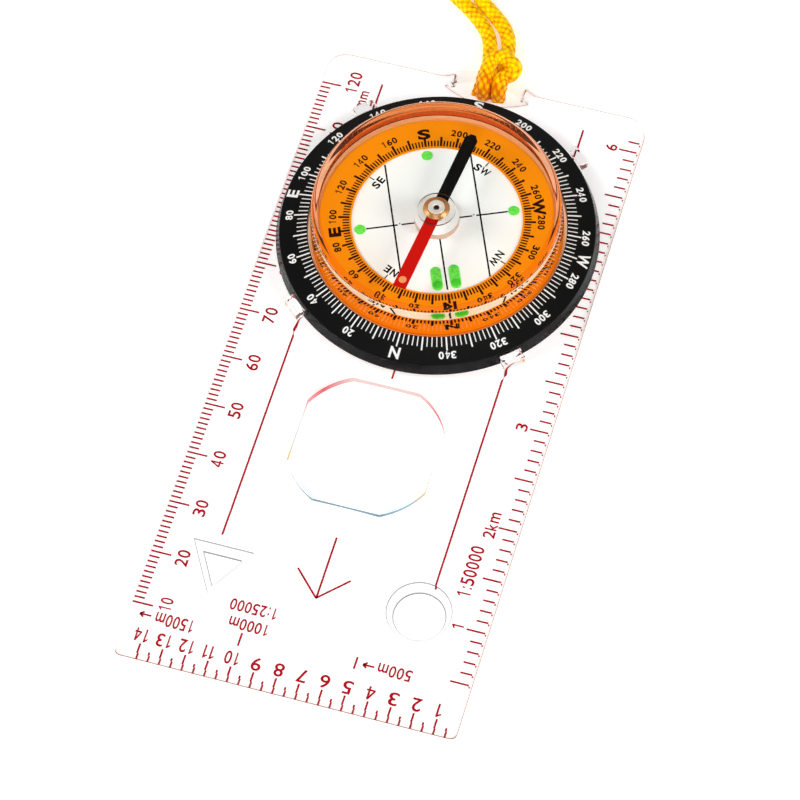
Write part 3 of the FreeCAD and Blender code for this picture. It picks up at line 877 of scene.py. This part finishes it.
def build_ring():
    """The black ring: grained sloping top, smooth side, and a white degree scale."""
    top = grained("ring_top", colour(9, 9, 9), 0.42, 5.0, 0.008, specular=0.35)
    side = grained("ring_side", colour(6, 5, 5), 0.2, 1.2, 0.002, specular=0.2)
    corners = [
        (RING_COUNTERBORE, RING_LOW.z),
        (RING_FOOT_RADIUS, RING_LOW.z),
        (RING_SHOULDER_RADIUS, RING_SHOULDER),
        (RING_BORE, RING_HIGH.z),
        (RING_BORE, RING_LIP),
        (RING_COUNTERBORE, RING_LIP),
    ]
    steps = 4
    profile = rounded(corners, 0.16, steps)
    shoulder = 2 * (steps + 1) + steps // 2
    bore = 3 * (steps + 1) + steps // 2

    def face_slot(number):
        return 0 if shoulder <= number < bore else 1

    mesh = lathe("ring", profile, 256, face_slot=face_slot)
    even_shading(add_piece("ring", mesh, "bezel", [top, side], ["bezel_ring"]))
    white = grained("white_ink", colour(245, 245, 243), 0.5, 4.0, 0.003)
    ink = Print(lambda x, y: ring_slope(math.hypot(x - AXIS.x, y - AXIS.y)) + PRINT_GAP)
    degree_scale(ink, north=-90, ticks=(23.15, 24.9), long_ticks=(23.15, 25.6), numerals=(25.75, 27.1),
                 letters=(25.7, 27.8), width=0.18, spread=1.1, weight=BOLD)
    add_piece("ring_print", ink.mesh("ring_print"), "bezel", white)


build_ring()


# ---- capsule
COVER_RADIUS = 22.7
COVER_TOP_RADIUS = 22.05
COVER_WALL = 1.2
COVER_ROOF = 1.0
COVER_ROUNDING = 0.9
FLANGE_TOP = 3.2
FLANGE_LOW = 2.1
DIAL_INNER = 15.15
DIAL_OUTER = 21.0
DIAL_NORTH = DIAL_TURN - 90
DIAL_FACING = Matrix.Rotation(math.radians(DIAL_TURN), 2)


def build_cover():
    """The clear cup: its outside meets air and its inside the liquid; its inner wall carries a painted
    reflection of the dial, and its foot carries painted shade and painted light.
    """
    outside = clear_plastic("capsule_outside", 1.49)
    inside = clear_plastic("capsule_inside", 1.03)
    # Painted reflection: the inner wall is tinted peach for the orange dial seen in it
    wall = clear_plastic("capsule_wall_painted_reflection", 1.03, tint=(1.0, 0.78, 0.58, 1))
    # Painted shade on the inner half of the foot; painted light on the bands up to the flange, peach and
    # glowing for the dial's light through the clear plastic
    foot_painted_shade = grained("capsule_foot_painted_shade", colour(120, 84, 60), 0.5, 3.0, 0.003)
    seat_painted_light = grained("capsule_seat", colour(250, 194, 142), 0.5, 3.0, 0.003)
    glow(seat_painted_light, colour(255, 222, 184), 0.4)
    top = COVER_HIGH.z
    foot = COVER_LOW.z
    steps = 6
    outer = [
        (COVER_RADIUS - COVER_WALL, foot),
        (COVER_RADIUS - COVER_WALL / 2, foot),
        (COVER_RADIUS, foot),
        (COVER_RADIUS, FLANGE_LOW),
        (COVER_HIGH.x, FLANGE_LOW),
        (COVER_HIGH.x, FLANGE_TOP),
        (COVER_RADIUS, FLANGE_TOP),
        (COVER_TOP_RADIUS, top),
        (0, top),
    ]
    inner = [
        (0, top - COVER_ROOF),
        (COVER_TOP_RADIUS - COVER_WALL, top - COVER_ROOF),
        (COVER_RADIUS - COVER_WALL, DIAL_LOW.z),
        (COVER_RADIUS - COVER_WALL, foot),
    ]
    rim = rounded(outer[-3:], COVER_ROUNDING, steps, closed=False)
    outer_line = [Vector(point) for point in outer[:-3]] + rim
    inner_line = rounded(inner, COVER_ROUNDING, steps, closed=False)
    profile = outer_line + inner_line[:-1]
    border = len(outer_line) - 1
    seat_end = 5
    wall_start = border + 1 + steps // 2

    materials = [outside, inside, wall, seat_painted_light, foot_painted_shade]

    def face_slot(number):
        """Band by band: inner half of the foot (painted shade), up to the flange (painted light), outside,
        ceiling and wall (painted reflection).
        """
        if number == 0:
            return 4
        if number < seat_end:
            return 3
        if number < border:
            return 0
        return 1 if number < wall_start else 2

    mesh = lathe("cover", profile, 256, face_slot=face_slot)
    even_shading(add_piece("cover", mesh, "capsule", materials, ["capsule_cover"]))


def build_base():
    """The milky floor with its low round boss, and the liquid above it."""
    low = BASE_LOW.z
    top = BASE_HIGH.z
    floor = DIAL_LOW.z
    boss = 3.9
    boss_foot = boss + 0.12
    edge = BASE_HIGH.x
    profile = [(0, low), (edge, low), (edge, floor), (boss_foot, floor), (boss, top), (0, top)]
    boss_side = 3
    milky = grained("milky_floor", colour(254, 253, 253), 0.35, 3.0, 0.002, shift=0.01, specular=0.1)
    # Painted light: a faint bluish-white glow of its own keeps the floor bright
    glow(milky, colour(238, 244, 255), 0.08)
    # Painted shade: the boss's side is light brown, an outline round the clear boss
    boss_edge_shade = grained("boss_edge_shade", colour(214, 178, 160), 0.4, 3.0, 0.002)
    mesh = lathe("base", profile, 192, closed=False, face_slot=lambda number: int(number == boss_side))
    even_shading(add_piece("base", mesh, "capsule", [milky, boss_edge_shade], ["capsule_base"]))
    nodes = Nodes("liquid")
    clear = nodes.surface(nodes.add("BsdfTransparent", Color=(0.99, 1.0, 0.99, 1)))
    gap = 0.06
    wall = COVER_TOP_RADIUS - COVER_WALL - COVER_ROUNDING
    roof = COVER_HIGH.z - COVER_ROOF - gap
    bottom = top + gap
    liquid = lathe("liquid", [(0, bottom), (wall, bottom), (wall, roof), (0, roof)], 96, closed=False)
    add_piece("liquid", liquid, "capsule", clear, ["damping_liquid"])


def build_dial():
    """The orange degree ring."""
    orange = grained("orange_dial", colour(255, 148, 0), 0.5, 4.0, 0.003, shift=0.05, specular=0.1)
    profile = rounded([(DIAL_INNER, DIAL_LOW.z), (DIAL_OUTER, DIAL_LOW.z), (DIAL_OUTER, DIAL_HIGH.z),
                       (DIAL_INNER, DIAL_HIGH.z)], 0.05, 2)
    mesh = lathe("dial", profile, 192)
    even_shading(add_piece("dial", mesh, "capsule", orange, ["dial_ring"]))
    brown = grained("dial_ink", colour(44, 16, 4), 0.7, 4.0, 0.002, specular=0.0)
    ink = Print(lambda x, y: DIAL_HIGH.z + PRINT_GAP)
    degree_scale(ink, north=DIAL_NORTH, ticks=(15.5, 16.7), long_ticks=(15.5, 17.5), numerals=(17.8, 19.1),
                 letters=(17.1, 19.25), width=0.27, spread=1.36, weight=HEAVY)
    add_piece("dial_print", ink.mesh("dial_print"), "capsule", brown)


def build_meridians():
    """Lines, corner headings and their ticks on the milky floor."""
    black = grained("black_ink", colour(16, 14, 14), 0.7, 4.0, 0.002, specular=0.0)
    boss = 3.95
    floor_gap = 0.006
    width = 0.3
    thin = 0.2
    ink = Print(lambda x, y: DIAL_LOW.z + floor_gap)

    def stroke(u0, v0, u1, v1, wide=width):
        """u to the east and v to the north of the axis, on the dial."""
        spots = []
        for u, v in ((u0, v0), (u1, v1)):
            radius = math.hypot(u, v)
            heading = math.degrees(math.atan2(u, v))
            spots += heading_spot(radius, heading, DIAL_NORTH)[:2]
        ink.line(*spots, wide)

    spacing = 7.7
    reach = math.sqrt(15.0**2 - spacing**2)
    for side in (-spacing, spacing):
        stroke(side, -reach, side, reach)
    stroke(0, boss, 0, 14.5)
    for side in (-1, 1):
        stroke(side * boss, 0, side * 6.3, 0)
        stroke(side * 7.0, 0, side * 12.6, 0)
        stroke(side * 6.6, -0.35, side * 6.6, -0.1, thin)
    for heading, text in ((45, "NE"), (135, "SE"), (225, "SW"), (315, "NW")):
        x, y, turn = heading_spot(13.15, heading, DIAL_NORTH)
        ink.text(text, x, y, 1.5, turn, weight=BOLD)
        radial_tick(ink, 14.1, 15.1, heading, DIAL_NORTH, thin)
    add_piece("meridian_print", ink.mesh("meridian_print"), "capsule", black)


def lume_material():
    """Speckled green paint."""
    nodes = Nodes("green_lume")
    shader = nodes.add("BsdfPrincipled", Roughness=0.6)
    place = nodes.add("TexCoord")
    speck = nodes.noise(place, 2.4, 4.0)
    ramp = nodes.ramp([(0.35, colour(84, 226, 62)), (0.65, colour(128, 248, 100))])
    nodes.join(speck, ramp, 0, "Fac")
    nodes.join(ramp, shader, 0, "Base Color")
    nodes.bump(speck, shader, 0.6, 0.01)
    return nodes.surface(shader)


def disc_profile(radius, low, high, edge, steps):
    """A coin's profile with softened edges, from its axis outwards and back."""
    corners = [(0, low), (radius, low), (radius, high), (0, high)]
    return rounded(corners, edge, steps, closed=False)


def bar_mesh(name, middle, reach, radius, low, high):
    """A long spot of paint with round ends, along the dial's north, with a softened upper edge."""
    steps = 48
    edge = 0.05
    along = DIAL_FACING @ Vector((0, 1))
    rim = []
    for step in range(steps):
        angle = 2 * math.pi * step / steps
        push = along * (reach if math.sin(angle) >= 0 else -reach)
        rim.append(middle + push + DIAL_FACING @ Vector((math.cos(angle), math.sin(angle))) * radius)
    builder = bmesh.new()
    rows = []
    for inset, height in ((0, low), (0, high - edge), (edge, high)):
        pulled = [spot + (middle - spot).normalized() * inset for spot in rim]
        rows.append([builder.verts.new((spot.x, spot.y, height)) for spot in pulled])
    for one, two in zip(rows, rows[1:]):
        for index in range(steps):
            following = (index + 1) % steps
            builder.faces.new((one[index], one[following], two[following], two[index]))
    builder.faces.new(rows[0][::-1])
    builder.faces.new(rows[-1])
    return finish_mesh(builder, name, 50)


def build_lume():
    """Green dots at east, south and west, and two bars with a darker spot beside north."""
    lume = lume_material()
    darker = grained("green_lume_spot", colour(72, 214, 48), 0.6, 2.4, 0.006)
    for name in ("lume_dot_east", "lume_dot_south", "lume_dot_west"):
        low, high = box(name)
        profile = disc_profile((high.x - low.x) / 2, low.z, high.z, 0.08, 3)
        mesh = lathe(name + "_paint", profile, 48, closed=False, centre=(low + high) / 2)
        add_piece(name + "_paint", mesh, "capsule", lume, [name])
    along = DIAL_FACING @ Vector((0, 1))
    half_wide = 0.95
    half_long = 2.45 - half_wide
    spot_radius = 0.82
    spot_place = -half_long * 0.82
    spot_lift = 0.03
    for name in ("lume_bar_left", "lume_bar_right"):
        low, high = box(name)
        middle = ((low + high) / 2).xy
        mesh = bar_mesh(f"{name}_paint", middle, half_long, half_wide, low.z, high.z)
        add_piece(f"{name}_paint", mesh, "capsule", lume, [name])
        middle = middle + along * spot_place
        mesh = bar_mesh(f"{name}_spot", middle, 0, spot_radius, low.z, high.z + spot_lift)
        add_piece(f"{name}_spot", mesh, "capsule", darker)


build_cover()
build_base()
build_dial()
build_meridians()
build_lume()


# ---- needle
def build_needle():
    """The two-colour strip with its cut-off red end and pointed black end."""
    half = 17.05
    root = 1.12
    tip = 1.2
    point = 1.0
    turn = Matrix.Rotation(math.radians(-NEEDLE_TURN), 2)
    low = BLADE_LOW.z
    high = BLADE_HIGH.z
    bevel = 0.04
    outline = [
        (-half, tip),
        (-3.0, root + 0.02),
        (0, root),
        (3.0, root),
        (half - point, tip),
        (half, tip * 0.4),
    ]
    section = [(-1, low), (-1, high - bevel), (-0.93, high), (0.93, high), (1, high - bevel), (1, low)]
    red_parts = 2
    paints = [
        grained("needle_red", colour(206, 14, 4), 0.45, 3.0, 0.003, specular=0.08),
        grained("needle_black", colour(8, 7, 6), 0.45, 3.0, 0.003, specular=0.08),
    ]
    builder = bmesh.new()
    rows = []
    for along, wide in outline:
        row = []
        for side, height in section:
            spot = turn @ Vector((side * wide, along))
            row.append(builder.verts.new((AXIS.x + spot.x, AXIS.y + spot.y, height)))
        rows.append(row)
    for number, (one, two) in enumerate(zip(rows, rows[1:])):
        for index in range(len(section)):
            following = (index + 1) % len(section)
            face = builder.faces.new((one[index], one[following], two[following], two[index]))
            face.material_index = 0 if number < red_parts else 1
    builder.faces.new(rows[0][::-1]).material_index = 0
    builder.faces.new(rows[-1]).material_index = 1
    mesh = finish_mesh(builder, "needle", 20)
    even_shading(add_piece("needle", mesh, "needle", paints, ["needle_blade"]))


def build_hub():
    """The stepped cap with its clear skirt, the jewel in it, and the dot near the red end."""
    nickel = grained("hub_nickel", colour(252, 243, 230), 0.25, 2.0, 0.003, shift=0.05, metallic=0.4)
    brass = grained("hub_brass", colour(210, 152, 98), 0.28, 0.9, 0.01, shift=0.55, metallic=0.7)
    skirt_clear = clear_plastic("hub_skirt", 1.02, tint=(0.96, 0.94, 0.92, 1))
    # Painted shade: a brown line on the clear skirt's outer wall
    skirt_shade_line = grained("hub_skirt_line", colour(96, 62, 48), 0.3, 2.0, 0.002)
    jewel = grained("jewel_dark", colour(30, 10, 10), 0.08, 2.0, 0.001)
    foot = HUB_LOW.z
    blade = BLADE_HIGH.z
    skirt = blade + 0.8
    step = skirt + 0.3
    crown = HUB_HIGH.z
    profile = [
        (0.5, foot), (1.5, foot), (1.5, blade), (3.35, blade), (3.35, skirt), (2.4, skirt + 0.05),
        (2.35, step), (1.6, step + 0.25), (1.45, crown), (0.6, crown - 0.1), (0.5, crown - 0.3),
    ]
    steps = 3
    per_corner = steps + 1
    clear_from = 3 * per_corner - 1
    line_from = 3 * per_corner + steps
    line_to = 4 * per_corner
    clear_to = 6 * per_corner
    brass_to = 8 * per_corner

    def face_slot(number):
        if line_from <= number < line_to:
            return 3
        if clear_from <= number < clear_to:
            return 1
        return 2 if clear_to <= number < brass_to else 0

    mesh = lathe("hub", rounded(profile, 0.08, steps), 96, face_slot=face_slot)
    materials = [nickel, skirt_clear, brass, skirt_shade_line]
    even_shading(add_piece("hub", mesh, "needle", materials, ["needle_hub"]))
    low = JEWEL_LOW.z
    stone = rounded([(0, low), (0.5, low), (0.5, crown - 0.35), (0, crown - 0.25)], 0.06, 3, closed=False)
    mesh = lathe("jewel", stone, 48, closed=False)
    add_piece("jewel", mesh, "needle", jewel, ["jewel_cup"])
    dot_low, dot_high = box("needle_lume_dot")
    orange = grained("orange_lume", colour(246, 152, 92), 0.5, 2.4, 0.004)
    profile = disc_profile((dot_high.x - dot_low.x) / 2, dot_low.z, dot_high.z, 0.03, 2)
    mesh = lathe("needle_dot", profile, 40, closed=False, centre=(dot_low + dot_high) / 2)
    add_piece("needle_dot", mesh, "needle", orange, ["needle_lume_dot"])


def dress_hidden_nodes():
    """Procedural finishes for the small CAD pieces that stay as they are."""
    finishes = {
        "pivot_pin": grained("pin_steel", colour(190, 190, 192), 0.25, 3.0, 0.002, metallic=1.0),
        "base_gasket": grained("seal_rubber", colour(255, 176, 112), 0.6, 3.0, 0.01),
        "fill_plug": grained("plug_plastic", colour(24, 24, 25), 0.4, 3.0, 0.005),
    }
    for name, material in finishes.items():
        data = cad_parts[name].data
        data.materials.clear()
        data.materials.append(material)


build_needle()
build_hub()
dress_hidden_nodes()


# ---- table and light
def build_stage():
    """A white table a hair below the part."""
    builder = bmesh.new()
    half = 900
    drop = -0.03
    corners = [(-half, -half), (half, -half), (half, half), (-half, half)]
    builder.faces.new([builder.verts.new((x, y, drop)) for x, y in corners])
    mesh = finish_mesh(builder, "table")
    nodes = Nodes("table_white")
    shader = nodes.add("BsdfPrincipled", Base_Color=(0.86, 0.86, 0.86, 1), Roughness=0.8,
                       Specular_IOR_Level=0.1, Emission_Color=(1, 1, 1, 1), Emission_Strength=0.4)
    mesh.materials.append(nodes.surface(shader))
    table = bpy.data.objects.new("table", mesh)
    bpy.context.scene.collection.objects.link(table)


def build_light():
    """A room that is bright low down and dark higher up, and three soft lamps."""
    world = bpy.data.worlds.new("studio")
    world.use_nodes = True
    bpy.context.scene.world = world
    tree = world.node_tree
    background = tree.nodes["Background"]
    place = tree.nodes.new("ShaderNodeTexCoord")
    split = tree.nodes.new("ShaderNodeSeparateXYZ")
    ramp = tree.nodes.new("ShaderNodeValToRGB")
    tree.links.new(place.outputs["Generated"], split.inputs[0])
    tree.links.new(split.outputs["Z"], ramp.inputs["Fac"])
    tree.links.new(ramp.outputs["Color"], background.inputs["Color"])
    stops = ramp.color_ramp.elements
    for stop, position, grey in ((stops[0], 0.0, 0.9), (stops[1], 1.0, 0.5)):
        stop.position = position
        stop.color = (grey, grey, grey, 1)
    for position, grey in ((0.12, 0.85), (0.3, 0.25), (0.55, 0.07), (0.9, 0.08)):
        stops.new(position).color = (grey, grey, grey, 1)
    background.inputs["Strength"].default_value = 1.0
    for name, spot, size, power in (
        ("left", (-0.95, -0.1, 0.75), 0.6, 8.4),
        ("right", (0.95, -0.05, 0.75), 0.6, 8.4),
        ("front", (0.15, -1.0, 0.8), 0.7, 7.0),
    ):
        lamp = bpy.data.lights.new(name, "AREA")
        lamp.size = size
        lamp.energy = power
        holder = bpy.data.objects.new(name, lamp)
        holder.location = spot
        holder.rotation_euler = (-Vector(spot)).to_track_quat("-Z", "Y").to_euler()
        # Their mirror images would hide the dial under the capsule's top in some views
        holder.visible_glossy = False
        bpy.context.scene.collection.objects.link(holder)
    bpy.context.scene.view_settings.view_transform = "Standard"
    limits = bpy.context.scene.cycles
    limits.max_bounces = 32
    limits.glossy_bounces = 20
    limits.transmission_bounces = 28
    limits.transparent_max_bounces = 24
    limits.diffuse_bounces = 4


build_stage()
build_light()
